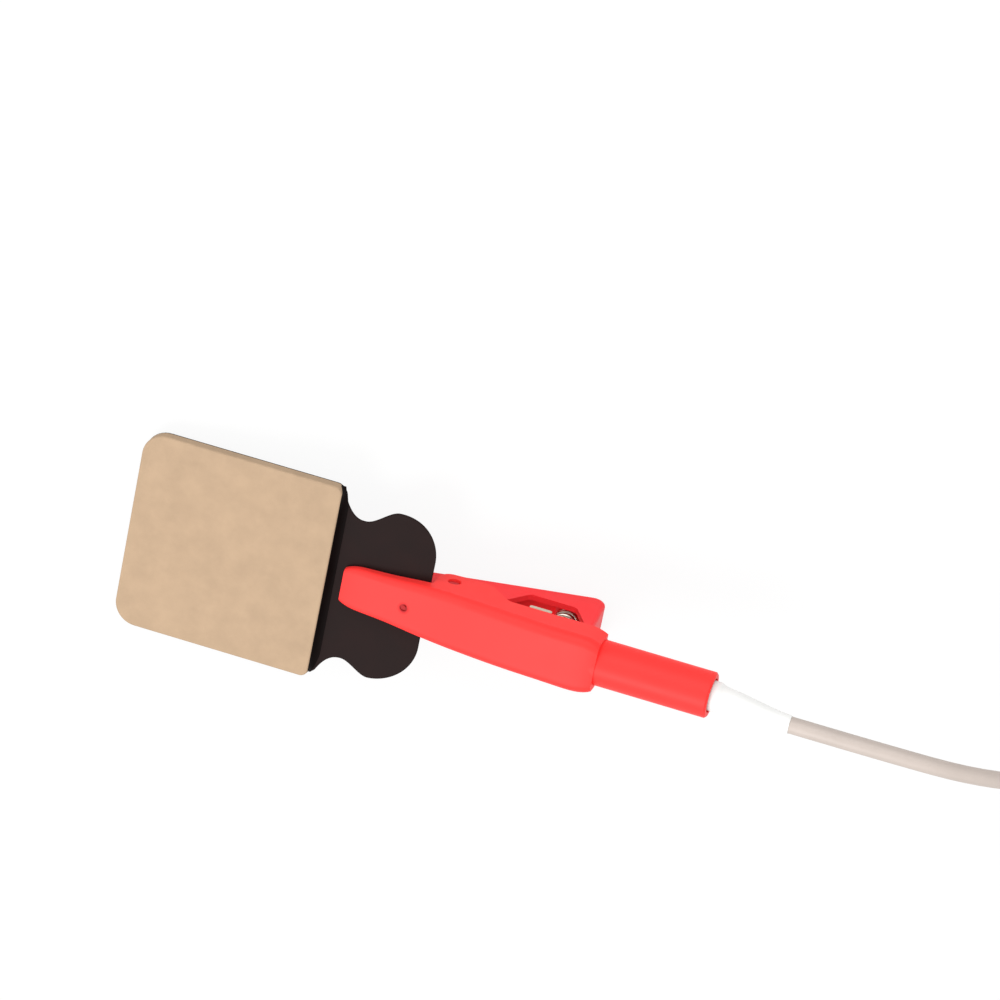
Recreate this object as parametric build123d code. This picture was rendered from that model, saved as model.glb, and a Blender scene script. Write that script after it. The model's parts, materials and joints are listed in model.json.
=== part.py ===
from build123d import *
import math
import os

import numpy as np

# A resting electrode for one heart trace lead: a square adhesive pad with a conductive tab,
# held in the jaws of a sprung clip, with the lead plugged into the clip's socket.
# Millimetres. The pieces are drawn in the clip's own frame: X runs from the pad to the lead,
# with zero at the pad's edge on the tab's side, Y is across and Z is square to the film,
# whose middle is at zero. The whole is then tipped to lie on the pad's far edge and the lever.

# Electrode
pad_side = 22.0
pad_shift_y = -0.23
pad_outer_corner = 2.5
pad_tab_corner = 0.9
foam_thickness = 1.2
film_thickness = 0.15
gel_thickness = 0.8
gel_inset = 0.35
tab_length = 10.85
tab_half_width = 9.4
lobe_radius = 4.75
neck_half_width = 7.9
neck_length = 2.0
neck_flare = 3.0
neck_flare_lead = 0.8
neck_lobe_fillet = 1.1

# Upper shell
nose_x = 1.7
body_end_x = 30.3
body_half_width = 3.18
body_height = 3.6
body_edge_radius = 1.0
body_wall = 0.58
roof_wall = 0.7
end_wall = 1.2
skirt_gap = 0.05
ear_front_gap = 0.3
ear_depth = 3.3
ear_lower_length = 5.3
ear_upper_length = 8.1
ear_front_radius = 1.3
ear_rear_radius = 2.2
rear_skirt_depth = 0.4
skirt_blend_radius = 1.2
skirt_corner_radius = 0.2
foot_proud = 0.12
gate_mark_x = 8.9
gate_mark_radius = 0.42
gate_mark_land = 0.2
gate_mark_depth = 0.14
station_shares = [
    (0.0, 0.58, 0.25, 0.45),
    (0.028, 0.69, 0.29, 0.55),
    (0.189, 0.80, 0.433, 0.70),
    (0.325, 0.907, 0.556, 0.80),
    (0.472, 0.968, 0.711, 0.90),
    (0.657, 0.99, 0.889, 1.0),
    (0.885, 1.0, 1.0, 1.0),
    (0.962, 0.97, 0.99, 1.0),
    (1.0, 0.85, 0.95, 0.95),
]

# Lead socket
tube_radius = 2.46
tube_centre_z = 0.93
tube_length = 12.2
tube_end_x = body_end_x + tube_length
tube_mouth_chamfer = 0.18
bore_radius = 1.85
sleeve_gap = 0.02
sleeve_wall = 0.35
sleeve_setback = 0.8

# Jaws
jaw_thickness = 0.3
jaw_half_width = 1.4
jaw_side_gap = 0.05
jaw_front_x = 2.1
jaw_pad_length = 4.0
bite_gap = 0.02
tooth_count = 6
tooth_depth = 0.14
seat_gap = 0.08
jaw_ramp_length = 2.0
strip_tail_thickness = 0.25
strip_tail_drop = 2.9
wing_setback = 9.3
wing_front_x = body_end_x - wing_setback
wing_length = 3.3
wing_thickness = 0.17
wing_depth = 1.75
wing_side_gap = 0.1
moving_strip_setback = 12.3
moving_strip_end_x = body_end_x - moving_strip_setback

# Pivot
pivot_x = 13.0
pivot_z = -1.5
pin_radius = 0.7
pin_press_gap = 0.01
pin_running_gap = 0.06
pin_recess = 0.2

# Lever
lever_front_x = 1.9
lever_half_width = 2.28
lever_wall = 0.6
lever_web = 0.65
lever_tip_depth = 1.55
lever_slope = 0.335
lever_end_gap = 0.8
lever_end_x = body_end_x - end_wall - lever_end_gap
lever_end_lean = 0.55
lever_end_radius = 1.3
lever_end_wall = 0.75
lever_lip_z = -1.7
lever_edge_radius = 0.45
lever_skirt_gap = 0.12
boss_rise = 0.1
boss_front_gap = 0.35
boss_length = 2.9
flange_knee_x = 18.2
flange_knee_z = -1.8
flange_low_z = -5.6
flange_front_setback = 7.9
flange_rear_setback = 2.8
flange_low_front_x = lever_end_x - flange_front_setback
flange_low_rear_x = lever_end_x - flange_rear_setback
flange_blend_radius = 0.8
grip_count = 5
grip_setback = 8.2
grip_front_x = lever_end_x - grip_setback
grip_pitch = 1.1
grip_width = 0.5
grip_depth = 0.22

# Spring
spring_setback = 5.8
spring_x = body_end_x - spring_setback
spring_radius = 1.35
wire_diameter = 0.36
wire_sides = 6
spring_turns = 9
spring_seat_rise = 1.13
spring_seat_length = 3.0
peg_radius = 0.8
peg_length = 1.0
peg_hole_gap = 0.1
spring_end_gap = 0.03

# Lead plug
plug_collar_radius = 1.6
plug_collar_length = 0.8
plug_collar_round = 0.2
plug_entry = 0.5
plug_length = 9.2
plug_tail_radius = 1.02
plug_waist_share = 0.45
plug_pin_radius = 1.4
plug_pin_reach = 11.0
plug_pin_seat = 0.8
plug_pin_chamfer = 0.5
plug_fit_gap = 0.01

# Lead: its route from the plug's end to the coil, in the finished frame
lead_diameter = 1.8
bend_share = 0.45
lead_route = [
    (50.0, -0.68, 16.8),
    (60.5, -1.8, 16.1),
    (69.5, -2.5, 11.6),
    (76.0, -2.9, 7.9),
    (82.0, -3.0, 6.7),
]
coil_centre = (82.0, 8.0)
coil_turns_across = 3
coil_layers = 4
coil_outer_radius = 11.0
coil_lift = 0.4
coil_corner = 0.8
coil_slack = 0.1
tie_arc = 16.0
tie_thickness = 0.38
tie_gap = 0.02
tie_corner = 1.0
tie_turn = 60.0

# The lead's far end: from the coil's lowest turn to the connector beside the coil
tail_route = [
    (71.0, 8.0, 1.3),
    (71.0, -1.4, 1.2),
    (73.4, -5.6, 1.4),
    (77.6, -7.9, 2.2),
    (82.0, -8.1, 2.8),
    (86.0, -8.1, 2.8),
]

# Far connector: a moulded safety socket with its contact tube set back inside
connector_radius = 2.7
connector_mouth_radius = 1.75
connector_mouth_depth = 9.0
connector_barrel_length = 15.0
connector_length = 24.0
connector_tail_radius = 1.15
connector_round = 0.35
contact_outer_radius = 1.15
contact_bore_radius = 0.76
contact_bore_depth = 7.5
contact_length = 10.0
contact_setback = 1.2
ring_setback = 2.4
ring_width = 2.0
ring_depth = 0.35
ring_proud = 0.1
ring_gap = 0.01

levelling_passes = 8

os.makedirs("parts", exist_ok=True)
overrun = 1.0


def station(x):
    """Half width, top and corner radius of the upper shell at a place along it."""
    share = (x - nose_x) / (body_end_x - nose_x)
    columns = np.array(station_shares).T
    width, top, corner = (float(np.interp(share, columns[0], c)) for c in columns[1:])
    return width * body_half_width, top * body_height, corner * body_edge_radius


def across(x):
    """A plane square to X, with its own axes along Y and Z."""
    return Plane(origin=(x, 0, 0), x_dir=(0, 1, 0), z_dir=(1, 0, 0))


def arched_section(x, half_width, top, bottom, corner):
    outline = FilletPolyline(
        (-half_width, bottom),
        (half_width, bottom),
        (half_width, top),
        (-half_width, top),
        radius=[0, 0, corner, corner],
        close=True,
    )
    return across(x) * make_face(outline)


def side_slab(points, half_width):
    """An outline of (x, z, corner radius) in the X-Z plane, carried to both sides."""
    outline = FilletPolyline(
        *[(x, z) for x, z, _ in points], radius=[r for _, _, r in points], close=True
    )
    return extrude(Plane.XZ * make_face(outline), amount=half_width, both=True)


def rod(x, z, radius, half_length):
    """A round bar across the clip."""
    return Pos(x, 0, z) * Rot(90, 0, 0) * Cylinder(radius, half_length + half_length)


def tube_along(x0, x1, radius, z=tube_centre_z):
    """A round bar along the clip."""
    return Pos((x0 + x1) / 2, 0, z) * Rot(0, 90, 0) * Cylinder(radius, x1 - x0)


def block(x0, x1, y0, y1, z0, z1):
    return Pos((x0 + x1) / 2, (y0 + y1) / 2, (z0 + z1) / 2) * Box(x1 - x0, y1 - y0, z1 - z0)


film_top = film_thickness / 2
film_bottom = -film_top
ear_front_x = tab_length + ear_front_gap
inner_end_x = body_end_x - end_wall
roof_front_x = jaw_front_x + jaw_pad_length + jaw_ramp_length


def pad_outline(inset=0):
    """The square pad: rounded corners at the outer edge, tighter ones beside the tab."""
    half = pad_side / 2 - inset
    outer, near = -pad_side + inset, -inset
    outline = FilletPolyline(
        (outer, -half),
        (near, -half),
        (near, half),
        (outer, half),
        radius=[pad_outer_corner, pad_tab_corner, pad_tab_corner, pad_outer_corner],
        close=True,
    )
    return make_face(outline)


def make_foam():
    return Pos(0, pad_shift_y, film_top) * extrude(pad_outline(), amount=foam_thickness)


def make_gel():
    gel = extrude(pad_outline(gel_inset), amount=-gel_thickness)
    return Pos(0, pad_shift_y, film_bottom) * gel


def tab_outline():
    """The tab: a waisted neck that flares to the pad, and two round lobes with a flat between."""
    lobe_x, lobe_y = tab_length - lobe_radius, tab_half_width - lobe_radius
    reach = lobe_radius + neck_lobe_fillet
    rise = neck_half_width + neck_lobe_fillet - lobe_y
    fillet_x = lobe_x - math.sqrt(reach**2 - rise**2)
    meet = math.degrees(math.asin(rise / reach))
    flare_y = neck_half_width + neck_flare
    half = [
        Line((-neck_length, 0), (-neck_length, flare_y)),
        Line((-neck_length, flare_y), (0, flare_y)),
        Bezier((0, flare_y), (neck_flare_lead, neck_half_width), (neck_length, neck_half_width)),
        Line((neck_length, neck_half_width), (fillet_x, neck_half_width)),
        CenterArc((fillet_x, lobe_y + rise), neck_lobe_fillet, -90, 90 - meet),
        CenterArc((lobe_x, lobe_y), lobe_radius, 0, 180 - meet),
        Line((tab_length, lobe_y), (tab_length, 0)),
        Line((tab_length, 0), (-neck_length, 0)),
    ]
    upper = make_face(half)
    return upper + mirror(upper, about=Plane.XZ)


def make_film():
    """The conductive film: the pad's square and the tab in one piece."""
    outline = pad_outline() + tab_outline()
    return Pos(0, pad_shift_y, film_bottom) * extrude(outline.clean(), amount=film_thickness)


def skirt_profile():
    """The upper shell from the side: straight skirts and a rounded ear."""
    low, high = film_top + skirt_gap, body_height + overrun
    return [
        (nose_x - overrun, low, 0),
        (ear_front_x, low, skirt_corner_radius),
        (ear_front_x, -ear_depth, ear_front_radius),
        (ear_front_x + ear_lower_length, -ear_depth, ear_rear_radius),
        (ear_front_x + ear_upper_length, -rear_skirt_depth, skirt_blend_radius),
        (body_end_x + overrun, -rear_skirt_depth, 0),
        (body_end_x + overrun, high, 0),
        (nose_x - overrun, high, 0),
    ]


def station_places():
    """Where along the upper shell its sections are drawn."""
    return [nose_x + s[0] * (body_end_x - nose_x) for s in station_shares]


def make_socket_shell():
    """The upper moulding: an arched channel with two ears, closed at the rear by its socket."""
    sections = []
    for x in station_places():
        half_width, top, corner = station(x)
        sections.append(arched_section(x, half_width, top, -ear_depth - overrun, corner))
    shell = loft(sections) & side_slab(skirt_profile(), body_half_width + overrun)
    inner = []
    inside = [x for x in station_places() if roof_front_x < x < inner_end_x]
    for x in [roof_front_x - jaw_ramp_length] + inside + [inner_end_x]:
        half_width, top, corner = station(x)
        bottom = -ear_depth - overrun - overrun
        inner.append(
            arched_section(
                x, half_width - body_wall, top - roof_wall, bottom, corner * body_wall / 2
            )
        )
    shell -= loft(inner, ruled=True)
    pocket_side = jaw_half_width + jaw_side_gap
    pocket_roof = film_top + bite_gap + tooth_depth + jaw_thickness + jaw_side_gap
    shell -= block(
        jaw_front_x - jaw_side_gap,
        roof_front_x - jaw_ramp_length + overrun,
        -pocket_side,
        pocket_side,
        -overrun,
        pocket_roof,
    )
    peg_top = station(spring_x)[1] - roof_wall
    shell += Pos(spring_x, 0, peg_top + (roof_wall - peg_length) / 2) * Cylinder(
        peg_radius, roof_wall + peg_length
    )
    shell += tube_along(inner_end_x, body_end_x, tube_radius + foot_proud)
    tube = tube_along(body_end_x - end_wall / 2, tube_end_x, tube_radius)
    mouth = tube.edges().filter_by(GeomType.CIRCLE).sort_by(Axis.X)[-1]
    shell += chamfer(mouth, tube_mouth_chamfer)
    shell -= tube_along(inner_end_x - overrun, tube_end_x + overrun, bore_radius)
    shell -= rod(pivot_x, pivot_z, pin_radius + pin_press_gap, body_half_width + overrun)
    mark_top = station(gate_mark_x)[1]
    mark = Pos(gate_mark_x, 0, mark_top) * (
        Cylinder(gate_mark_radius, gate_mark_depth + gate_mark_depth)
        - Cylinder(gate_mark_land, gate_mark_depth + gate_mark_depth)
    )
    return shell - mark


def make_pin():
    ear = station(pivot_x)[0]
    pin = rod(pivot_x, pivot_z, pin_radius, ear - pin_recess)
    return chamfer(pin.edges().filter_by(GeomType.CIRCLE), pin_recess / 2)


def teeth(x_from, x_to, tip, root):
    """The points of a row of saw teeth between two places, tip heights first."""
    pitch = (x_to - x_from) / tooth_count
    points = []
    for i in range(tooth_count):
        points += [(x_from + i * pitch, root, 0), (x_from + (i + 0.5) * pitch, tip, 0)]
    return points + [(x_to, root, 0)]


def roof(x):
    """Where the upper strip lies under the shell's roof."""
    return station(x)[1] - roof_wall - seat_gap


def make_fixed_jaw():
    """The upper contact: toothed pad, strip under the roof, two wings and a bent tail."""
    tip = film_top + bite_gap
    root = tip + tooth_depth
    pad_rear = jaw_front_x + jaw_pad_length
    lower = teeth(jaw_front_x, pad_rear, tip, root)
    places = [roof_front_x] + [x for x in station_places() if roof_front_x < x < inner_end_x]
    tail_x = inner_end_x - strip_tail_thickness
    tail_z = roof(inner_end_x) - strip_tail_drop
    lower += [(x, roof(x) - jaw_thickness, 0) for x in places + [tail_x]]
    lower += [(tail_x, tail_z, 0), (inner_end_x, tail_z, 0), (inner_end_x, roof(inner_end_x), 0)]
    lower += [(x, roof(x), 0) for x in reversed(places)]
    top = root + jaw_thickness
    lower += [(pad_rear, top, 0), (jaw_front_x, top, 0)]
    jaw = side_slab(lower, jaw_half_width)
    wing_y = station(wing_front_x)[0] - body_wall - wing_side_gap
    wing_rear = wing_front_x + wing_length
    shelf_top = roof(wing_front_x)
    for side in (-1, 1):
        inner_y, outer_y = side * (wing_y - wing_thickness), side * wing_y
        edge_y = side * (jaw_half_width - jaw_thickness)
        jaw += block(
            wing_front_x, wing_rear, *sorted((inner_y, outer_y)), -wing_depth, shelf_top
        )
        jaw += block(
            wing_front_x,
            wing_rear,
            *sorted((edge_y, outer_y)),
            shelf_top - jaw_thickness,
            shelf_top,
        )
    hole = Cylinder(peg_radius + peg_hole_gap, body_height)
    return jaw - Pos(spring_x, 0, roof(spring_x)) * hole


def make_sleeve():
    end_x = tube_end_x - sleeve_setback
    outer = tube_along(inner_end_x, end_x, bore_radius - sleeve_gap)
    return outer - tube_along(
        inner_end_x - overrun, end_x + overrun, bore_radius - sleeve_gap - sleeve_wall
    )


def web_out(x):
    return -lever_tip_depth - lever_slope * (x - lever_front_x)


def web_in(x):
    return web_out(x) + lever_web * math.hypot(1, lever_slope)


spring_seat_z = web_in(spring_x) + spring_seat_rise


def make_lever():
    """The lower moulding: a channel with a straight web, bosses and a closed, lipped end."""
    skirt_z = film_bottom - lever_skirt_gap
    boss_front = tab_length + boss_front_gap
    boss_top = boss_rise
    lip_front = lever_end_x - lever_end_wall
    low_x = lever_end_x - lever_end_lean
    outline = [
        (lever_front_x, skirt_z, 0),
        (boss_front - boss_front_gap / 2, skirt_z, 0),
        (boss_front, boss_top, boss_rise),
        (boss_front + boss_length, boss_top, flange_blend_radius),
        (flange_knee_x, flange_knee_z, flange_blend_radius),
        (flange_low_front_x, flange_low_z, flange_blend_radius),
        (flange_low_rear_x, flange_low_z, flange_blend_radius),
        (lip_front, lever_lip_z, 0),
        (lever_end_x, lever_lip_z, 0),
        (low_x, web_out(low_x), lever_end_radius),
        (lever_front_x, web_out(lever_front_x), 0),
    ]
    lever = side_slab(outline, lever_half_width)
    long_edges = [
        e
        for e in lever.edges().filter_by(GeomType.LINE)
        if abs(abs(e.center().Y) - lever_half_width) < lever_edge_radius / 2
        and abs(e.center().Z - web_out(e.center().X)) < lever_edge_radius / 2
    ]
    lever = fillet(long_edges, lever_edge_radius)
    nose_rear = jaw_front_x + jaw_pad_length
    ramp_rear = nose_rear + jaw_ramp_length
    nose_z = film_bottom - bite_gap - tooth_depth - jaw_thickness - jaw_side_gap
    end_in = low_x - lever_end_wall
    hollow = [
        (nose_rear - jaw_side_gap, nose_z, 0),
        (ramp_rear - seat_gap, web_in(ramp_rear - seat_gap), 0),
        (end_in, web_in(end_in), lever_wall),
        (lip_front, lever_lip_z, 0),
        (lip_front, body_height, 0),
        (nose_rear - jaw_side_gap, body_height, 0),
    ]
    lever -= side_slab(hollow, lever_half_width - lever_wall)
    pocket_side = jaw_half_width + jaw_side_gap
    lever -= block(
        jaw_front_x - jaw_side_gap, nose_rear + jaw_side_gap, -pocket_side, pocket_side, nose_z, 0
    )
    seat_front = spring_x - spring_seat_length / 2
    seat_rear = spring_x + spring_seat_length / 2
    inner_side = lever_half_width - lever_wall / 2
    seat = [
        (seat_front, spring_seat_z, 0),
        (seat_rear, spring_seat_z, 0),
        (seat_rear, web_in(seat_rear) - lever_web / 2, 0),
        (seat_front, web_in(seat_front) - lever_web / 2, 0),
    ]
    lever += side_slab(seat, inner_side)
    lever += Pos(spring_x, 0, peg_length / 2 + spring_seat_z) * Cylinder(peg_radius, peg_length)
    lever -= rod(pivot_x, pivot_z, pin_radius + pin_running_gap, body_half_width + overrun)
    lean = math.degrees(math.atan(lever_slope))
    for i in range(grip_count):
        x = grip_front_x + i * grip_pitch
        groove = Box(grip_width, body_half_width + body_half_width, grip_depth + grip_depth)
        lever -= Pos(x, 0, web_out(x)) * Rot(0, lean, 0) * groove
    return lever


def make_moving_jaw():
    """The lower contact: toothed pad and a strip that lies along the lever's web."""
    tip = film_bottom - bite_gap
    root = tip - tooth_depth
    pad_rear = jaw_front_x + jaw_pad_length
    ramp_rear = pad_rear + jaw_ramp_length + jaw_thickness
    upper = teeth(jaw_front_x, pad_rear, tip, root)
    upper += [
        (ramp_rear + jaw_thickness, web_in(ramp_rear + jaw_thickness) + seat_gap + jaw_thickness, 0),
        (moving_strip_end_x, web_in(moving_strip_end_x) + seat_gap + jaw_thickness, 0),
        (moving_strip_end_x, web_in(moving_strip_end_x) + seat_gap, 0),
        (ramp_rear, web_in(ramp_rear) + seat_gap, 0),
        (pad_rear, root - jaw_thickness, 0),
        (jaw_front_x, root - jaw_thickness, 0),
    ]
    return side_slab(upper, jaw_half_width)


def make_spring():
    """The compression spring, standing on the lever's seat under the upper strip."""
    wire = wire_diameter / 2
    low = spring_seat_z + wire + spring_end_gap
    high = roof(spring_x) - jaw_thickness - wire - spring_end_gap
    coil_radius = spring_radius - wire
    helix = Helix(pitch=(high - low) / spring_turns, height=high - low, radius=coil_radius)
    profile = Plane(origin=helix @ 0, z_dir=helix % 0) * RegularPolygon(wire, wire_sides)
    return Pos(spring_x, 0, low) * sweep(profile, path=helix, is_frenet=True)


def make_plug_body():
    """The moulded plug: a collar that enters the socket, and a long taper down to the lead."""
    front_x = tube_end_x - plug_entry
    neck_x = tube_end_x + plug_collar_length
    rear_x = tube_end_x + plug_length
    waist_x = neck_x + plug_waist_share * (rear_x - neck_x)
    waist_r = plug_tail_radius + (plug_collar_radius - plug_tail_radius) / 2
    flank = Spline(
        (neck_x, plug_collar_radius), (waist_x, waist_r), (rear_x, plug_tail_radius)
    )
    front = Polyline(
        (rear_x, plug_tail_radius),
        (rear_x, 0),
        (front_x, 0),
        (front_x, plug_collar_radius - plug_collar_round),
        (front_x + plug_collar_round, plug_collar_radius),
        (neck_x, plug_collar_radius),
    )
    body = Pos(0, 0, tube_centre_z) * revolve(make_face(flank + front), axis=Axis.X)
    seat = tube_along(
        tube_end_x - overrun, tube_end_x + plug_pin_seat, plug_pin_radius + plug_fit_gap
    )
    return body - seat


def make_plug_pin():
    pin = tube_along(tube_end_x - plug_pin_reach, tube_end_x + plug_pin_seat, plug_pin_radius)
    tip = pin.edges().filter_by(GeomType.CIRCLE).sort_by(Axis.X)[0]
    return chamfer(tip, plug_pin_chamfer)


def rounded_path(route):
    """Straight runs joined by arcs as large as the shorter run beside each corner allows."""
    points = [Vector(*p) for p in route]
    radii = []
    for a, b, c in zip(points, points[1:], points[2:]):
        turn = math.radians((b - a).get_angle(c - b))
        radii.append(bend_share * min((b - a).length, (c - b).length) / math.tan(turn / 2))
    print("bend radii", [round(r, 1) for r in radii])
    return FilletPolyline(*points, radius=radii)


def make_cord(route):
    path = rounded_path(route)
    profile = Plane(origin=path @ 0, z_dir=path % 0) * Circle(lead_diameter / 2)
    cord = sweep(profile, path=path)
    section = math.pi * (lead_diameter / 2) ** 2
    print("cord length", round(path.length, 2), "volume share", cord.volume / path.length / section)
    return cord


def coil_bounds():
    """Inner and outer radius, and lowest and highest level, of the wound coil."""
    half = lead_diameter / 2 + coil_slack
    inner = coil_outer_radius - (coil_turns_across - 1) * lead_diameter - half
    return inner, coil_outer_radius + half, coil_lift, coil_lift + coil_layers * lead_diameter


def bundle_section(inner, outer, low, high, corner):
    """A section of the coil's bundle, in the X-Z plane, with its corners cut."""
    section = make_face(Polyline((inner, low), (outer, low), (outer, high), (inner, high), close=True))
    return Plane.XZ * chamfer(section.vertices(), corner)


def make_coil():
    inner, outer, low, high = coil_bounds()
    coil = revolve(bundle_section(inner, outer, low, high, coil_corner), axis=Axis.Z)
    return Pos(*coil_centre, 0) * coil


def make_tie():
    """A band round the coil's bundle."""
    inner, outer, low, high = coil_bounds()

    def ring(grow, corner):
        return bundle_section(inner - grow, outer + grow, low - grow, high + grow, corner)

    band = revolve(ring(tie_gap + tie_thickness, tie_corner), axis=Axis.Z, revolution_arc=tie_arc)
    band -= revolve(ring(tie_gap, coil_corner), axis=Axis.Z)
    return Pos(*coil_centre, 0) * Rot(0, 0, tie_turn) * band


def on_connector(shape):
    """Takes a shape drawn from its mouth at the origin along +X to the tail's end."""
    before, tail = Vector(*tail_route[-2]), Vector(*tail_route[-1])
    heading = math.degrees(math.atan2(before.Y - tail.Y, before.X - tail.X))
    return Pos(*tail) * Rot(0, 0, heading) * Pos(-connector_length, 0, 0) * shape


def bar(x0, x1, radius):
    return tube_along(x0, x1, radius, 0)


def make_connector_body():
    waist_x = connector_barrel_length + (connector_length - connector_barrel_length) / 2
    waist_r = connector_tail_radius + (connector_radius - connector_tail_radius) / 3
    flank = Spline(
        (connector_barrel_length, connector_radius),
        (waist_x, waist_r),
        (connector_length, connector_tail_radius),
    )
    front = Polyline(
        (connector_length, connector_tail_radius),
        (connector_length, 0),
        (0, 0),
        (0, connector_radius - connector_round),
        (connector_round, connector_radius),
        (connector_barrel_length, connector_radius),
    )
    body = revolve(make_face(flank + front), axis=Axis.X)
    body -= bar(-overrun, connector_mouth_depth, connector_mouth_radius)
    rear = contact_setback + contact_length
    body -= bar(connector_mouth_depth - overrun, rear, contact_outer_radius + ring_gap)
    groove = bar(ring_setback, ring_setback + ring_width, connector_radius + overrun)
    groove -= bar(0, connector_mouth_depth, connector_radius - ring_depth)
    return on_connector(body - groove)


def make_connector_contact():
    rear = contact_setback + contact_length
    contact = bar(contact_setback, rear, contact_outer_radius)
    contact -= bar(0, contact_setback + contact_bore_depth, contact_bore_radius)
    return on_connector(contact)


def make_id_ring():
    ring = bar(
        ring_setback + ring_gap, ring_setback + ring_width - ring_gap, connector_radius + ring_proud
    )
    ring -= bar(0, connector_mouth_depth, connector_radius - ring_depth + ring_gap)
    return on_connector(ring)


def rest_place(pad, lever):
    """The tilt and the move that lay the pad's far edge and the lever's end on one level."""
    tilt = 0.0
    for _ in range(levelling_passes):
        low_pad = (Rot(0, tilt, 0) * pad).bounding_box()
        low_lever = (Rot(0, tilt, 0) * lever).bounding_box()
        tilt -= math.degrees(math.atan((low_pad.min.Z - low_lever.min.Z) / tube_end_x))
    return tilt


clip_nodes = {
    "foam_backing": make_foam(),
    "contact_film": make_film(),
    "gel_pad": make_gel(),
    "socket_shell": make_socket_shell(),
    "fixed_jaw": make_fixed_jaw(),
    "pivot_pin": make_pin(),
    "socket_sleeve": make_sleeve(),
    "lever_shell": make_lever(),
    "moving_jaw": make_moving_jaw(),
    "spring": make_spring(),
}
plug_nodes = {"plug_pin": make_plug_pin(), "plug_body": make_plug_body()}
tilt = rest_place(clip_nodes["gel_pad"], clip_nodes["lever_shell"])
boxes = [(Rot(0, tilt, 0) * s).bounding_box() for s in clip_nodes.values()]
middle_x = (min(b.min.X for b in boxes) + max(b.max.X for b in boxes)) / 2
floor_z = min(b.min.Z for b in boxes)
rest = Pos(-middle_x, 0, -floor_z) * Rot(0, tilt, 0)
print("tilt", round(tilt, 3), "move", round(-middle_x, 4), round(-floor_z, 4))
for name, place in (
    ("plug end", (tube_end_x + plug_length, 0, tube_centre_z)),
    ("pivot", (pivot_x, 0, pivot_z)),
    ("gel face", (-pad_side / 2, pad_shift_y, film_bottom - gel_thickness)),
    ("spring top", (spring_x, 0, roof(spring_x))),
):
    spot = rest * Location(place)
    print(name, [round(v, 3) for v in spot.position])

parts = {name: rest * shape for name, shape in (clip_nodes | plug_nodes).items()}
plug_end = rest * Location((tube_end_x + plug_length, 0, tube_centre_z))
parts["lead"] = make_cord([tuple(plug_end.position)] + lead_route)
parts["lead_coil"] = make_coil()
parts["lead_tie"] = make_tie()
parts["lead_tail"] = make_cord(tail_route)
parts["connector_body"] = make_connector_body()
parts["connector_contact"] = make_connector_contact()
parts["id_ring"] = make_id_ring()

for name, shape in parts.items():
    export_step(shape, f"parts/{name}.step")
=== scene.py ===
"""The finish of a tab electrode in its sprung clip: pad, shells, contacts, plug, lead and stage."""

import json
import math

import bpy
import numpy as np
from bpy.props import FloatProperty, FloatVectorProperty, IntProperty, PointerProperty
from mathutils import Matrix, Vector


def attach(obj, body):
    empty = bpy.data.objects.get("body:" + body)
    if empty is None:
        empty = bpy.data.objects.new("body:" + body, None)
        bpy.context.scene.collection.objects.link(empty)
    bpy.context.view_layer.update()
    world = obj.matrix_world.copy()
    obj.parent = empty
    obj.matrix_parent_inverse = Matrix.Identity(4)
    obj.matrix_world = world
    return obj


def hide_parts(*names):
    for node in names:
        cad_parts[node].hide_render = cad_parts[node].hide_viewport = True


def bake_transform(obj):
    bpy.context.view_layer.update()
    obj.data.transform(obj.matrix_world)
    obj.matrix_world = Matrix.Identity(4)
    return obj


bl_info = {
    "name": "Tab Electrode and Clip",
    "version": (1, 0, 0),
    "blender": (4, 5, 0),
    "location": "View3D > Sidebar > Electrode",
    "description": "Builds the finished pad, clip, spring, plug and lead round the packed model",
    "category": "Object",
}

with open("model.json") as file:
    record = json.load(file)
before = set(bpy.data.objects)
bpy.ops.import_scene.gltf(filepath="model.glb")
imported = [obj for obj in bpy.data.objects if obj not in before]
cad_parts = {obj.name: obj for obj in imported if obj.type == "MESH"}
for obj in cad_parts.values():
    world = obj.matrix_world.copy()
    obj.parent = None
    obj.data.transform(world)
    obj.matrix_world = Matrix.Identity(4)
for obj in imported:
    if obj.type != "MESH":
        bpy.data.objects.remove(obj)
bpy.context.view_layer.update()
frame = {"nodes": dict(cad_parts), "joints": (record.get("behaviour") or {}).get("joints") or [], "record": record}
record = frame["record"]
nodes = frame["nodes"]

MM = 0.001

# The clip's own frame, in millimetres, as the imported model's hinge and skin face place it
HINGE = frame["joints"][0]
HINGE_IN_CLIP = np.array([13.0, 0.0, -1.5])
SKIN_AXIS = next(m["axis"] for m in record["mounts"] if m["name"] == "skin_face")


def clip_axes():
    """The clip frame's X, Y and Z in the finished frame, from the skin face's outward axis."""
    z = -np.array(SKIN_AXIS, float)
    y = np.array([0.0, 1.0, 0.0])
    return np.stack([np.cross(y, z), y, z])


CLIP_AXES = clip_axes()


def to_frame(points):
    """Points of the clip's frame in millimetres, turned and moved to the finished frame in metres."""
    turned = (np.asarray(points, float) - HINGE_IN_CLIP) @ CLIP_AXES
    return turned * MM + np.array(HINGE["pos_m"], float)


def linear(red, green, blue):
    """A colour of 0 to 255 as the eye reads it, as linear light."""
    c = np.array([red, green, blue]) / 255
    return tuple(np.where(c <= 0.04045, c / 12.92, ((c + 0.055) / 1.055) ** 2.4))


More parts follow.
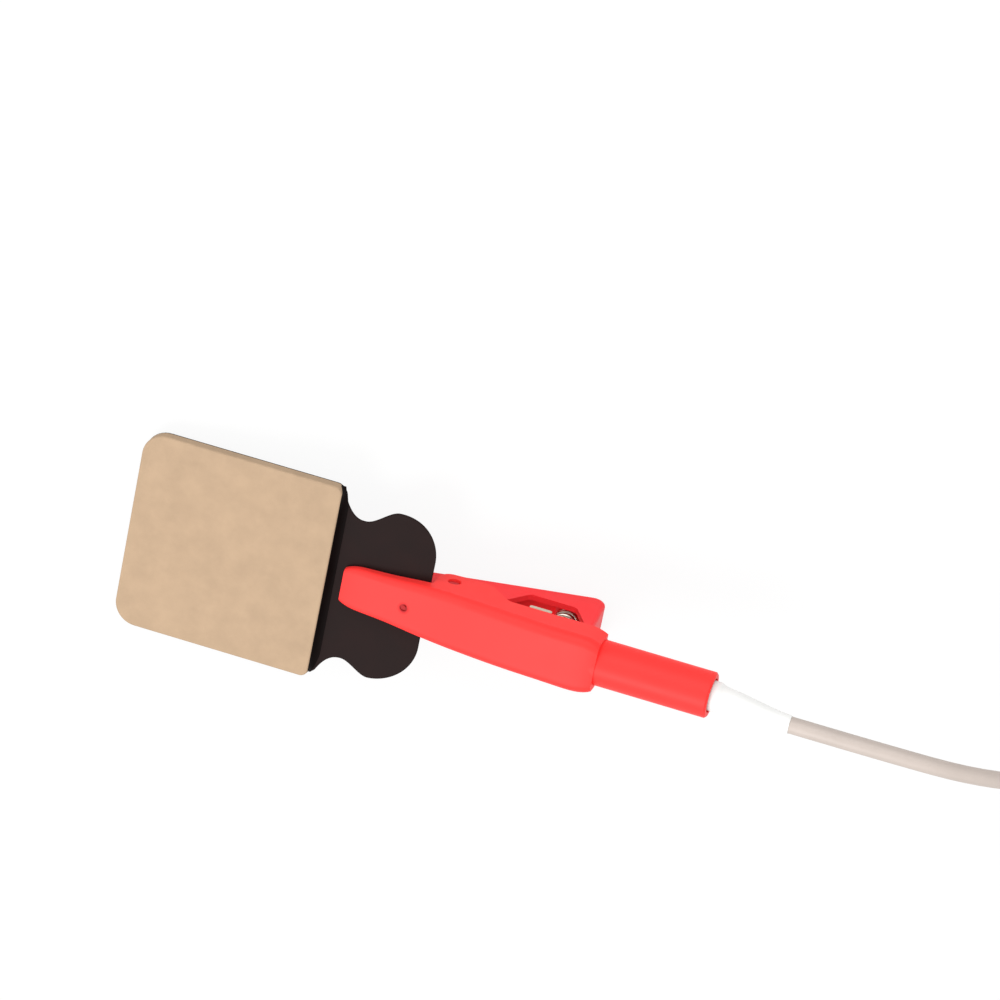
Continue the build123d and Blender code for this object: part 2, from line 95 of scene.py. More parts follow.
class ElectrodeColours(bpy.types.PropertyGroup):
    """Colours of the object's finishes"""

    foam: FloatVectorProperty(
        name="Foam",
        description="Backing foam of the pad",
        subtype="COLOR",
        default=linear(171, 146, 120),
    )
    film: FloatVectorProperty(
        name="Film",
        description="Conductive film of the tab",
        subtype="COLOR",
        default=linear(31, 20, 19),
    )
    shell: FloatVectorProperty(
        name="Shell",
        description="Upper moulding of the clip",
        subtype="COLOR",
        default=linear(254, 57, 54),
    )
    # The lever is the same red plastic as the shell; its darker red is painted shade, for the shade on the lever
    # and in its opening
    lever: FloatVectorProperty(
        name="Lever",
        description="Lower moulding of the clip",
        subtype="COLOR",
        default=linear(252, 48, 53),
    )
    plug: FloatVectorProperty(
        name="Plug",
        description="Soft moulding of the plug",
        subtype="COLOR",
        default=linear(232, 232, 230),
    )
    jacket: FloatVectorProperty(
        name="Jacket",
        description="Outer jacket of the lead",
        subtype="COLOR",
        default=linear(183, 171, 163),
    )


class ElectrodeSizes(bpy.types.PropertyGroup):
    """Sizes of the pieces that are finished here, in the clip's millimetres"""

    foam_edge: FloatProperty(
        name="Foam edge", description="Rounding of the foam's cut edge", default=0.22, min=0.02, max=0.5
    )
    foam_wave: FloatProperty(
        name="Foam wave", description="Height of the foam's slight waves", default=0.03, min=0, max=0.2
    )
    spring_turns: IntProperty(
        name="Spring turns", description="Working turns of the spring", default=8, min=3, max=14
    )
    wire: FloatProperty(
        name="Spring wire", description="Thickness of the spring's wire", default=0.36, min=0.2, max=0.6
    )
    lead: FloatProperty(
        name="Lead", description="Thickness of the lead", default=1.8, min=1, max=3
    )


def surface(name, grid, smooth=True):
    """A closed mesh from a grid of points, joined into quads, with its faces outwards.

    Rows run along the piece, and the columns go round it, the last joined to the first. The first
    and the last row are closed to one point in their middle. A grid with one more dimension in
    front holds several such pieces of one mesh.
    """
    grids = grid.reshape(-1, *grid.shape[-3:])
    count, rows, columns = grids.shape[:3]
    index = np.arange(rows * columns).reshape(rows, columns)
    index = np.hstack([index, index[:, :1]])
    quads = np.stack([index[:-1, :-1], index[:-1, 1:], index[1:, 1:], index[1:, :-1]], -1)
    parts = [quads.reshape(-1, 4)]
    points = [grids.reshape(count, -1, 3)]
    for k, row in enumerate((0, -1)):
        points.append(grids[:, row].mean(1)[:, None])
        ring = index[row] if row == 0 else index[row, ::-1]
        centre = np.full(columns, rows * columns + k)
        parts.append(np.stack([ring[:-1], ring[1:], centre], -1))
    points = np.concatenate(points, 1)
    faces = []
    for first in range(0, count * points.shape[1], points.shape[1]):
        for part in parts:
            faces += (part + first).tolist()
    mesh = bpy.data.meshes.new(name)
    mesh.from_pydata(points.reshape(-1, 3).tolist(), [], faces)
    return face_outwards(new_object(name, mesh, smooth))


def new_object(name, data, smooth=True):
    """An object at the origin that holds a mesh or a curve."""
    piece = bpy.data.objects.new(name, data)
    bpy.context.scene.collection.objects.link(piece)
    if smooth and isinstance(data, bpy.types.Mesh):
        data.shade_smooth()
    return piece


def face_outwards(piece):
    """Turns every face of a closed piece outwards."""
    if signed_volume(piece.data) < 0:
        piece.data.flip_normals()
    return piece


def signed_volume(mesh):
    """The volume in a closed mesh: a . (b x c) / 6 added up over its triangles a, b, c."""
    mesh.calc_loop_triangles()
    points = np.empty(len(mesh.vertices) * 3)
    mesh.vertices.foreach_get("co", points)
    corners = np.empty(len(mesh.loop_triangles) * 3, int)
    mesh.loop_triangles.foreach_get("vertices", corners)
    a, b, c = points.reshape(-1, 3)[corners.reshape(-1, 3)].transpose(1, 0, 2)
    return float((a * np.cross(b, c)).sum() / 6)


def smooth_step(t):
    """0 up to t = 0, 1 from t = 1, and t * t * (3 - 2 * t) between them."""
    t = np.clip(t, 0, 1)
    return t * t * (3 - 2 * t)


def round_angles(count):
    """Even angles round a circle, without its end."""
    return np.linspace(0, 2 * np.pi, count, endpoint=False)


def new_group(name, inputs, outputs):
    """An empty shader group with number inputs of (name, default) and number outputs by name."""
    group = bpy.data.node_groups.new(name, "ShaderNodeTree")
    for label, default in inputs:
        socket = group.interface.new_socket(label, in_out="INPUT", socket_type="NodeSocketFloat")
        socket.default_value = default
    for label in outputs:
        group.interface.new_socket(label, in_out="OUTPUT", socket_type="NodeSocketFloat")
    return group, group.nodes.new("NodeGroupInput"), group.nodes.new("NodeGroupOutput")


def link(tree, source, target):
    """Joins an output socket to an input socket."""
    tree.links.new(source, target)


def maths(tree, operation, first, second=None, clamp=False):
    """The output of a Math node whose inputs are numbers or sockets."""
    node = tree.nodes.new("ShaderNodeMath")
    node.operation, node.use_clamp = operation, clamp
    for socket, value in zip(node.inputs, (first, second)):
        if isinstance(value, (int, float)):
            socket.default_value = value
        elif value is not None:
            link(tree, value, socket)
    return node.outputs[0]


def noise(tree, vector, scale, detail=3.0, roughness=0.5):
    """The value of a Noise node whose scale is a number or a socket."""
    node = tree.nodes.new("ShaderNodeTexNoise")
    link(tree, vector, node.inputs["Vector"])
    node.inputs["Detail"].default_value = detail
    node.inputs["Roughness"].default_value = roughness
    if isinstance(scale, (int, float)):
        node.inputs["Scale"].default_value = scale
    else:
        link(tree, scale, node.inputs["Scale"])
    return node.outputs["Fac"]


BROAD_DETAIL = 2.0


def grain_group():
    """Grain of mouldings and metal: height = fine noise + broad share * broad noise.

    The mask is the broad noise.
    """
    group, inputs, outputs = new_group(
        "Moulded grain",
        [("Fine scale", 5000.0), ("Broad scale", 300.0), ("Broad share", 0.5)],
        ["Height", "Mask"],
    )
    place = group.nodes.new("ShaderNodeTexCoord").outputs["Object"]
    fine = noise(group, place, inputs.outputs["Fine scale"])
    broad = noise(group, place, inputs.outputs["Broad scale"], BROAD_DETAIL)
    share = maths(group, "MULTIPLY", broad, inputs.outputs["Broad share"])
    link(group, maths(group, "ADD", fine, share), outputs.inputs["Height"])
    link(group, broad, outputs.inputs["Mask"])
    return group


PORE_SIZES = (1.0, 2.3)
PORE_FILL = 1.3
MOTTLE_SCALE = 420.0
MOTTLE_DETAIL = 4.0
MOTTLE_ROUGHNESS = 0.6


def pores_group():
    """Foam pores: height = depth * the distances to the cells of two sizes, multiplied.

    The mottle is a broad noise.
    """
    group, inputs, outputs = new_group(
        "Foam pores",
        [("Cell scale", 3600.0), ("Depth", 0.5)],
        ["Height", "Mottle"],
    )
    place = group.nodes.new("ShaderNodeTexCoord").outputs["Object"]
    total = None
    for factor in PORE_SIZES:
        cells = group.nodes.new("ShaderNodeTexVoronoi")
        cells.feature = "SMOOTH_F1"
        link(group, place, cells.inputs["Vector"])
        cell_scale = maths(group, "MULTIPLY", inputs.outputs["Cell scale"], factor)
        link(group, cell_scale, cells.inputs["Scale"])
        hollow = maths(group, "MULTIPLY", cells.outputs["Distance"], PORE_FILL, clamp=True)
        total = hollow if total is None else maths(group, "MULTIPLY", total, hollow)
    mottle = noise(group, place, MOTTLE_SCALE, MOTTLE_DETAIL, MOTTLE_ROUGHNESS)
    link(group, maths(group, "MULTIPLY", total, inputs.outputs["Depth"]), outputs.inputs["Height"])
    link(group, mottle, outputs.inputs["Mottle"])
    return group


SOCKETS = {
    "metallic": "Metallic",
    "transmission_weight": "Transmission Weight",
    "specular_ior_level": "Specular IOR Level",
}


def material(name, colour, roughness, **sockets):
    """A Principled material and its tree, with plain values on the shader's own sockets."""
    made = bpy.data.materials.new(name)
    made.use_nodes = True
    tree = made.node_tree
    shader = tree.nodes["Principled BSDF"]
    shader.inputs["Base Color"].default_value = (*colour, 1)
    shader.inputs["Roughness"].default_value = roughness
    for label, value in sockets.items():
        shader.inputs[SOCKETS[label]].default_value = value
    return made, tree, shader


MASK_RANGE = (0.3, 0.7)


def shade_colour(tree, shader, mask, colour, factors):
    """Base colour runs from the colour times one factor to the other over the mask's range."""
    ramp = tree.nodes.new("ShaderNodeValToRGB")
    for stop, position, factor in zip(ramp.color_ramp.elements, MASK_RANGE, factors):
        stop.position, stop.color = position, (*scaled(colour, factor), 1)
    link(tree, mask, ramp.inputs["Fac"])
    link(tree, ramp.outputs["Color"], shader.inputs["Base Color"])


def bump(tree, shader, height, strength, distance):
    """The shader's normal leans with the height, over a distance in metres."""
    node = tree.nodes.new("ShaderNodeBump")
    node.inputs["Strength"].default_value = strength
    node.inputs["Distance"].default_value = distance
    link(tree, height, node.inputs["Height"])
    link(tree, node.outputs["Normal"], shader.inputs["Normal"])


def scaled(colour, factor):
    """The colour times a factor, at most 1."""
    return tuple(min(1.0, c * factor) for c in colour)


def place_group(tree, name, build):
    """A group node in the tree, of the group with that name, which is built at its first use."""
    node = tree.nodes.new("ShaderNodeGroup")
    node.node_tree = bpy.data.node_groups.get(name) or build()
    return node


GLOSS_SPREAD = (-0.06, 0.08)
MOULDED_BUMP = 0.25


def moulded(name, colour, roughness, fine=4200.0, depth_mm=0.01, spread=0.05, **sockets):
    """Moulded plastic: nearly even colour, fine grain in its surface and in its gloss."""
    made, tree, shader = material(name, colour, roughness, **sockets)
    grain = place_group(tree, "Moulded grain", grain_group)
    grain.inputs["Fine scale"].default_value = fine
    shade_colour(tree, shader, grain.outputs["Mask"], colour, (1 - spread, 1 + spread))
    gloss = tree.nodes.new("ShaderNodeMapRange")
    for label, more in zip(("To Min", "To Max"), GLOSS_SPREAD):
        gloss.inputs[label].default_value = roughness + more
    link(tree, grain.outputs["Mask"], gloss.inputs["Value"])
    link(tree, gloss.outputs["Result"], shader.inputs["Roughness"])
    bump(tree, shader, grain.outputs["Height"], MOULDED_BUMP, depth_mm * MM)
    return made


FOAM_GLOSS = 0.25
FOAM_MOTTLE = (0.93, 1.05)
FOAM_BUMP = 0.35
FOAM_PORE_DEPTH = 0.06


def foam_material(colour):
    """Open foam: pores in its surface and a slow mottle in its colour."""
    made, tree, shader = material("Tan foam", colour, 0.9, specular_ior_level=FOAM_GLOSS)
    pores = place_group(tree, "Foam pores", pores_group)
    shade_colour(tree, shader, pores.outputs["Mottle"], colour, FOAM_MOTTLE)
    bump(tree, shader, pores.outputs["Height"], FOAM_BUMP, FOAM_PORE_DEPTH * MM)
    return made


METAL_GRAIN_SCALE = 9000.0
METAL_STAIN = (0.9, 1.05)
METAL_BUMP = 0.2
METAL_GRAIN_DEPTH = 0.005


def metal(name, colour, roughness, metallic=1.0):
    """Worked metal: a very fine grain, and slight stains in its colour."""
    made, tree, shader = material(name, colour, roughness, metallic=metallic)
    grain = place_group(tree, "Moulded grain", grain_group)
    grain.inputs["Fine scale"].default_value = METAL_GRAIN_SCALE
    shade_colour(tree, shader, grain.outputs["Mask"], colour, METAL_STAIN)
    bump(tree, shader, grain.outputs["Height"], METAL_BUMP, METAL_GRAIN_DEPTH * MM)
    return made


def finish_node(name, made):
    """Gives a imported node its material."""
    node = nodes[name]
    node.data.materials.clear()
    node.data.materials.append(made)


def place_piece(piece, made, body, *replaced, slot=None):
    """Gives a new piece its material, hides the parts it replaces, and sets its body if it has one. The slot is
    not used.
    """
    piece.data.materials.append(made)
    if replaced:
        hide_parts(*replaced)
    if body:
        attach(piece, body)
    return piece


# Lead: the route's points from the plug to the coil and from the coil to the connector
LEAD_ROUTE = [
    (40.0, -0.67, 14.965),
    (50.0, -0.68, 16.8),
    (60.5, -1.63, 16.1),
    (69.5, -2.2, 11.6),
    (76.0, -2.75, 7.9),
    (82.0, -3.0, 6.7),
]
TAIL_ROUTE = [
    (71.0, 8.0, 1.3),
    (71.0, -1.4, 1.2),
    (73.4, -5.6, 1.4),
    (77.6, -7.9, 2.2),
    (82.0, -8.1, 2.8),
    (86.0, -8.1, 2.8),
]
COIL_CENTRE = (82.0, 8.0)
COIL_OUTER_RADIUS = 11.0
COIL_LIFT = 0.4
COIL_TURNS = 11.75
COIL_ACROSS = 3
COIL_LAYERS = 4
COIL_STEPS = 16
COIL_KEPT_SHARE = 0.8
LEAD_RESOLUTION = 6
LEAD_ROUND_RESOLUTION = 5


def coil_points(diameter):
    """The wound turns: circles of a few radii in layers, each passing to the next near its end.

    The radius and the level keep their value for most of a turn, and go to the next turn's by a
    smooth step in the rest. The control points stand outside the circle by radius * (pi / steps)
    squared / 4, because the spline runs inside them.
    """
    count = int(COIL_TURNS * COIL_STEPS)
    turn = (np.arange(count) + 0.5) / COIL_STEPS
    whole = np.floor(turn).astype(int)
    ease = smooth_step((turn - whole - COIL_KEPT_SHARE) / (1 - COIL_KEPT_SHARE))

    def place(k):
        layer, step = k // COIL_ACROSS, k % COIL_ACROSS
        inward = np.where(layer % 2 == 0, step, COIL_ACROSS - 1 - step)
        level = COIL_LIFT + (COIL_LAYERS - 0.5 - layer) * diameter
        return COIL_OUTER_RADIUS - inward * diameter, level

    radius0, level0 = place(whole)
    radius1, level1 = place(whole + 1)
    radius = (radius0 + ease * (radius1 - radius0)) * (1 + (np.pi / COIL_STEPS) ** 2 / 4)
    level = level0 + ease * (level1 - level0)
    angle = -np.pi / 2 + 2 * np.pi * turn
    x, y = COIL_CENTRE
    return np.stack([x + radius * np.cos(angle), y + radius * np.sin(angle), level], 1)


def lead_curve(diameter):
    """The whole lead as one spline, and its first point."""
    points = np.vstack([LEAD_ROUTE, coil_points(diameter), TAIL_ROUTE]) * MM
    curve = bpy.data.curves.new("lead_line", "CURVE")
    curve.dimensions = "3D"
    spline = curve.splines.new("NURBS")
    spline.points.add(len(points) - 1)
    spline.points.foreach_set("co", np.hstack([points, np.ones((len(points), 1))]).ravel())
    spline.order_u = 3
    spline.use_endpoint_u = True
    curve.resolution_u = LEAD_RESOLUTION
    curve.bevel_depth = diameter * MM / 2
    curve.bevel_resolution = LEAD_ROUND_RESOLUTION
    curve.use_fill_caps = True
    return curve, points[0]


def curve_length(curve):
    """The length of the spline's own line, measured on a copy with no thickness."""
    bare = curve.copy()
    bare.bevel_depth = 0
    probe = bpy.data.objects.new("probe", bare)
    mesh = bpy.data.meshes.new_from_object(probe)
    co = np.empty(len(mesh.vertices) * 3)
    mesh.vertices.foreach_get("co", co)
    bpy.data.objects.remove(probe)
    bpy.data.meshes.remove(mesh)
    return float(np.linalg.norm(np.diff(co.reshape(-1, 3), axis=0), axis=1).sum())


class ELECTRODE_OT_stage(bpy.types.Operator):
    """Makes the camera, the lamps, the white floor and the world"""

    bl_idname = "electrode.make_stage"
    bl_label = "Stage"

    def execute(self, context):
        scene = context.scene
        scene.view_settings.view_transform = "Standard"
        make_camera(scene)
        make_lamps(scene)
        make_floor()
        make_world(scene)
        return {"FINISHED"}


# Camera: what the photograph shows of the clip's frame, at its scale
VIEW_RIGHT = (0.943, 0.1878, -0.2746)
VIEW_UP = (-0.2757, 0.9037, -0.3276)
SCALE_PX_PER_MM = 9.55
IMAGE_PX = 1000.0
CLIP_ORIGIN_PX = (328.5, 577.9)
LENS_MM = 200.0
SENSOR_MM = 36.0
CAMERA_CLIP = (0.01, 10.0)


def make_camera(scene):
    """A long lens square to the photograph's plane, turned so that the clip lies as it does there.

    The lens is set off so that the clip's origin falls on its pixel of the photograph.
    """
    right = np.array(VIEW_RIGHT) @ CLIP_AXES
    up = np.array(VIEW_UP) @ CLIP_AXES
    right /= np.linalg.norm(right)
    up -= right * (up @ right)
    up /= np.linalg.norm(up)
    back = np.cross(right, up)
    aside = (IMAGE_PX / 2 - CLIP_ORIGIN_PX[0]) / SCALE_PX_PER_MM * MM
    above = (CLIP_ORIGIN_PX[1] - IMAGE_PX / 2) / SCALE_PX_PER_MM * MM
    middle = to_frame([0, 0, 0]) + aside * right + above * up
    away = IMAGE_PX / SCALE_PX_PER_MM * MM * LENS_MM / SENSOR_MM
    camera = bpy.data.cameras.new("camera")
    camera.lens, camera.sensor_width = LENS_MM, SENSOR_MM
    camera.clip_start, camera.clip_end = CAMERA_CLIP
    holder = bpy.data.objects.new("camera", camera)
    turn = np.eye(4)
    turn[:3, 0], turn[:3, 1], turn[:3, 2] = right, up, back
    turn[:3, 3] = middle + back * away
    holder.matrix_world = Matrix(turn.tolist())
    scene.collection.objects.link(holder)
    scene.camera = holder


# Each lamp's name, place in metres, width in metres and power in watts
LAMPS = (
    ("key", (-0.3, -0.38, 0.7), 0.45, 4.4),
    ("fill", (-0.1, 0.65, 0.45), 0.6, 2.1),
    ("front", (-0.6, 0.1, 0.5), 0.4, 0.8),
)
FLOOR_HALF_SIDE = 3.0
FLOOR_GREY = 0.55
FLOOR_GLOW = 1.05
FLOOR_GLOW_SHARE = 0.86
ROOM_LIGHT = 0.85
ROOM_SEEN = 1.0


def make_lamps(scene):
    """A broad key from the picture's low side, a fill from the other and one from the pad's end."""
    for name, place, size, power in LAMPS:
        data = bpy.data.lights.new(name, "AREA")
        data.shape, data.size, data.energy = "DISK", size, power
        lamp = bpy.data.objects.new(name, data)
        lamp.location = place
        lamp.rotation_euler = (-Vector(place)).to_track_quat("-Z", "Y").to_euler()
        scene.collection.objects.link(lamp)


def seen_rays(tree):
    """1 for rays from the camera and in mirrors and glass, 0 for rays that light things."""
    path = tree.nodes.new("ShaderNodeLightPath")
    total = maths(tree, "ADD", path.outputs["Is Camera Ray"], path.outputs["Is Glossy Ray"])
    return maths(tree, "ADD", total, path.outputs["Is Transmission Ray"], clamp=True)


def make_floor():
    """A broad sheet that reads as white where it is seen, and still takes a soft shadow."""
    mesh = bpy.data.meshes.new("floor")
    corners = FLOOR_HALF_SIDE * np.array([(-1, -1, 0), (1, -1, 0), (1, 1, 0), (-1, 1, 0)])
    mesh.from_pydata(corners.tolist(), [], [(0, 1, 2, 3)])
    floor = new_object("floor", mesh, smooth=False)
    made, tree, shader = material("White floor", (FLOOR_GREY, FLOOR_GREY, FLOOR_GREY), 0.9)
    glow = tree.nodes.new("ShaderNodeEmission")
    blend = tree.nodes.new("ShaderNodeMixShader")
    glow.inputs["Strength"].default_value = FLOOR_GLOW
    share = maths(tree, "MULTIPLY", seen_rays(tree), FLOOR_GLOW_SHARE)
    link(tree, share, blend.inputs["Fac"])
    link(tree, shader.outputs["BSDF"], blend.inputs[1])
    link(tree, glow.outputs["Emission"], blend.inputs[2])
    link(tree, blend.outputs["Shader"], tree.nodes["Material Output"].inputs["Surface"])
    mesh.materials.append(made)


def make_world(scene):
    """An even white room, a little brighter where it is seen than where it lights."""
    world = bpy.data.worlds.new("room")
    world.use_nodes = True
    tree = world.node_tree
    strength = tree.nodes.new("ShaderNodeMapRange")
    strength.inputs["To Min"].default_value = ROOM_LIGHT
    strength.inputs["To Max"].default_value = ROOM_SEEN
    link(tree, seen_rays(tree), strength.inputs["Value"])
    link(tree, strength.outputs["Result"], tree.nodes["Background"].inputs["Strength"])
    tree.nodes["Background"].inputs["Color"].default_value = (1, 1, 1, 1)
    scene.world = world


class ELECTRODE_OT_lead(bpy.types.Operator):
    """Makes the lead with its coil"""

    bl_idname = "electrode.make_lead"
    bl_label = "Lead"

    def execute(self, context):
        sizes, colours = context.scene.electrode_sizes, context.scene.electrode_colours
        jacket = moulded("Grey jacket", colours.jacket, 0.5, fine=2600.0, depth_mm=0.015, spread=0.03)
        curve, exit_point = lead_curve(sizes.lead)
        lead = new_object("lead_cord", curve)
        place_piece(lead, jacket, "clip", "lead", "lead_coil", "lead_tail", slot="grey_jacket")
        round(curve_length(curve), 2)
        return {"FINISHED"}


class ELECTRODE_OT_pad(bpy.types.Operator):
    """Makes the foam backing, the film with its tab, the dark strip of painted shadow at the foam's edge and the
    gel
    """

    bl_idname = "electrode.make_pad"
    bl_label = "Pad"

    def execute(self, context):
        sizes, colours = context.scene.electrode_sizes, context.scene.electrode_colours
        foam = foam_plate(sizes.foam_edge, sizes.foam_wave)
        place_piece(foam, foam_material(colours.foam), "clip", "foam_backing", slot="tan_foam")
        dull = {"fine": 1500.0, "spread": 0.15, "specular_ior_level": 0.08}
        black = moulded("Black film", colours.film, 0.6, **dull)
        place_piece(film_sheet(), black, "clip", "contact_film", slot="carbon_film")
        # Painted shadow: the dark strip at the foam's edge takes the film's colour, darkened
        dark = moulded("Black edge shadow", scaled(colours.film, EDGE_SHADE_TONE), 0.7, **dull)
        place_piece(edge_shadow_strip(), dark, "clip", slot="carbon_film")
        clear, _, _ = material("Clear gel", GEL_CLEAR, 0.12, transmission_weight=0.6)
        place_piece(gel_plate(), clear, "clip", "gel_pad", slot="hydrogel")
        return {"FINISHED"}


# Pad, in the clip's millimetres: its tab side is at x = 0 and it reaches to x = -22
PAD_SIDE = 22.0
PAD_SHIFT_Y = -0.23
PAD_OUTER_CORNER = 2.5
PAD_TAB_CORNER = 0.9
SMALLEST_CORNER = 0.05
FILM_THICKNESS = 0.15
FOAM_THICKNESS = 1.2
GEL_THICKNESS = 0.8
GEL_INSET = 0.35
GEL_CLEAR = (0.82, 0.82, 0.76)
PAD_ROWS = 70
PAD_COLUMNS = 61
RIM_STEPS = 6
LOBE_RADIUS = 4.7
LOBE_CENTRE = (6.2, 4.85)
TAB_LENGTH = LOBE_CENTRE[0] + LOBE_RADIUS
NECK_HALF_WIDTH = 7.95
NECK_X = 2.8
NECK_FLARE = 2.84
NECK_FLARE_POWER = 2.4


def spaced(low, high, count):
    """Places from low to high, closer together towards both ends: the half cosine of an even angle."""
    return (low + high) / 2 - (high - low) / 2 * np.cos(np.linspace(0, np.pi, count))


def pad_half_width(x, inset=0.0):
    """Half the pad's width at x: straight sides, less the quarter circles at its corners."""
    low, high, half = -PAD_SIDE + inset, -inset, PAD_SIDE / 2 - inset
    width = np.full_like(x, half)
    for edge, radius, sign in ((low, PAD_OUTER_CORNER, 1), (high, PAD_TAB_CORNER, -1)):
        r = max(radius - inset, SMALLEST_CORNER)
        into = np.clip(r - sign * (x - edge), 0, r)
        width = np.where(into > 0, half - r + np.sqrt(r * r - into * into), width)
    return width


def tab_half_width(x):
    """Half the tab's width at x: a flare at the pad, a waist and a round lobe.

    Up to the waist the width is neck + flare * (1 - x / neck_x) ** power. From there to the
    lobe's middle it rises by the step t * t * (3 - 2 * t), and beyond it follows the circle.
    """
    lobe_x, lobe_y = LOBE_CENTRE
    flare = NECK_FLARE * np.clip(1 - x / NECK_X, 0, 1) ** NECK_FLARE_POWER
    rise = lobe_y + LOBE_RADIUS - NECK_HALF_WIDTH
    rise = rise * smooth_step((x - NECK_X) / (lobe_x - NECK_X))
    lobe = lobe_y + np.sqrt(np.clip(LOBE_RADIUS**2 - (x - lobe_x) ** 2, 0, None))
    return np.where(x > lobe_x, lobe, NECK_HALF_WIDTH + flare + rise)


def outline_grid(x, half_width, columns):
    """Rows along x and columns across: point (x, t * half_width(x)) for t from -1 to 1."""
    t = np.linspace(-1, 1, columns)
    return np.stack([np.broadcast_to(x[:, None], (len(x), columns)), half_width[:, None] * t], -1)


def rim(grid):
    """The grid's border as one ring of its points, in order round it."""
    return np.concatenate([grid[0], grid[1:, -1], grid[-1, -2::-1], grid[-2:0:-1, 0]])


def slab(name, grids, levels, lift=None):
    """A closed plate from one outline grid for each level z.

    The grid is whole at the lowest and the highest level, and only its rim is used between them,
    joined rim to rim. lift(x, y) is added to z.
    """
    rows, columns = grids[0].shape[:2]
    index = np.arange(rows * columns).reshape(rows, columns)
    quads = np.stack([index[:-1, :-1], index[1:, :-1], index[1:, 1:], index[:-1, 1:]], -1)
    quads = quads.reshape(-1, 4)
    ring = rim(index)
    points = [np.column_stack([grids[0].reshape(-1, 2), np.full(index.size, levels[0])])]
    faces, below, count = [quads[:, ::-1]], ring, index.size
    for grid, z in zip(grids[1:-1], levels[1:-1]):
        border = rim(grid)
        points.append(np.column_stack([border, np.full(len(border), z)]))
        above = count + np.arange(len(border))
        faces.append(np.stack([below, above, np.roll(above, -1), np.roll(below, -1)], -1))
        below, count = above, count + len(border)
    points.append(np.column_stack([grids[-1].reshape(-1, 2), np.full(index.size, levels[-1])]))
    above = ring + count
    faces.append(np.stack([below, above, np.roll(above, -1), np.roll(below, -1)], -1))
    faces.append(quads + count)
    points = np.vstack(points)
    if lift is not None:
        points[:, 2] += lift(points[:, 0], points[:, 1])
    points[:, 1] += PAD_SHIFT_Y
    mesh = bpy.data.meshes.new(name)
    mesh.from_pydata(to_frame(points).tolist(), [], np.vstack(faces).tolist())
    return face_outwards(new_object(name, mesh))


def pad_slab(name, edge, lift=None):
    """A plate of the pad's outline from its edge's (inset, z) line."""
    grids = []
    for inset, _ in edge:
        x = spaced(-PAD_SIDE + inset, -inset, PAD_ROWS)
        grids.append(outline_grid(x, pad_half_width(x, inset), PAD_COLUMNS))
    return slab(name, grids, [z for _, z in edge], lift)


def rim_line(low, high, round_low, round_high, inset=0.0, waist=0.0):
    """A rim from below as (inset, z): a quarter round, the wall's middle and a quarter round above."""
    a = np.linspace(0, np.pi / 2, RIM_STEPS)
    below = [(inset + round_low * (1 - math.sin(t)), low + round_low * (1 - math.cos(t))) for t in a]
    above = [(inset + round_high * (1 - math.cos(t)), high - round_high * (1 - math.sin(t))) for t in a]
    return below + [(inset + waist, (low + high) / 2)] + above


FOAM_LOW_EDGE = 0.04
FOAM_HOLLOW = 0.05
WAVE_ALONG = (0.55, 0.8)
WAVE_ACROSS = (0.43, 0.3)
WAVE_SLANT = (-0.7, 0.9)
WAVE_FADE = 2.0
GEL_LOW_EDGE = 0.3
GEL_HIGH_EDGE = 0.05
GEL_BULGE = 0.05


def foam_plate(edge, wave):
    """The foam, whose faces rise by wave times a sum of slow sines that fades out at its edge.

    The sum is sin(a x + b) * sin(c y + d) + sin(e x + f y) / 2, with a and b of the wave along,
    c and d of the wave across, and e and f of the slanted wave.
    """
    low, high = FILM_THICKNESS / 2, FILM_THICKNESS / 2 + FOAM_THICKNESS

    def lift(x, y):
        crossed = np.sin(WAVE_ALONG[0] * x + WAVE_ALONG[1])
        crossed = crossed * np.sin(WAVE_ACROSS[0] * y + WAVE_ACROSS[1])
        slow = crossed + np.sin(WAVE_SLANT[0] * x + WAVE_SLANT[1] * y) / 2
        from_edge = np.minimum(PAD_SIDE / 2 - abs(y), np.minimum(-x, x + PAD_SIDE))
        return wave * slow * np.clip(from_edge / WAVE_FADE, 0, 1)

    return pad_slab("foam_sheet", rim_line(low, high, FOAM_LOW_EDGE, edge, waist=FOAM_HOLLOW), lift)


def gel_plate():
    """The gel under the film, inset from the pad's edge, with a wall that bulges a little."""
    high, low = -FILM_THICKNESS / 2, -FILM_THICKNESS / 2 - GEL_THICKNESS
    edge = rim_line(low, high, GEL_LOW_EDGE, GEL_HIGH_EDGE, GEL_INSET, -GEL_BULGE)
    return pad_slab("gel_sheet", edge)


FILM_DROOP = 0.3
FILM_DROOP_POWER = 1.5
FILM_DROOP_START = (0.5, 3.2)
FILM_DROOP_RUN = (9.0, 6.0)
FILM_LEAN = 0.08
FILM_ASIDE = -0.54
FILM_LEAN_START = 0.4
FILM_PAD_END = -0.05
FILM_PAD_ROWS = 50
FILM_NECK_ROWS = 60
FILM_LOBE_ROWS = 40
FILM_COLUMNS = 81


def film_lift(x, y):
    """The tab's free lobes droop beside the jaws: -droop * (along * across) ** power.

    along and across go from 0 at their start to 1 over their run, along x and away from the middle.
    """
    along, across = (
        np.clip((place - start) / run, 0, 1)
        for place, start, run in zip((x, abs(y)), FILM_DROOP_START, FILM_DROOP_RUN)
    )
    return -FILM_DROOP * (along * across) ** FILM_DROOP_POWER


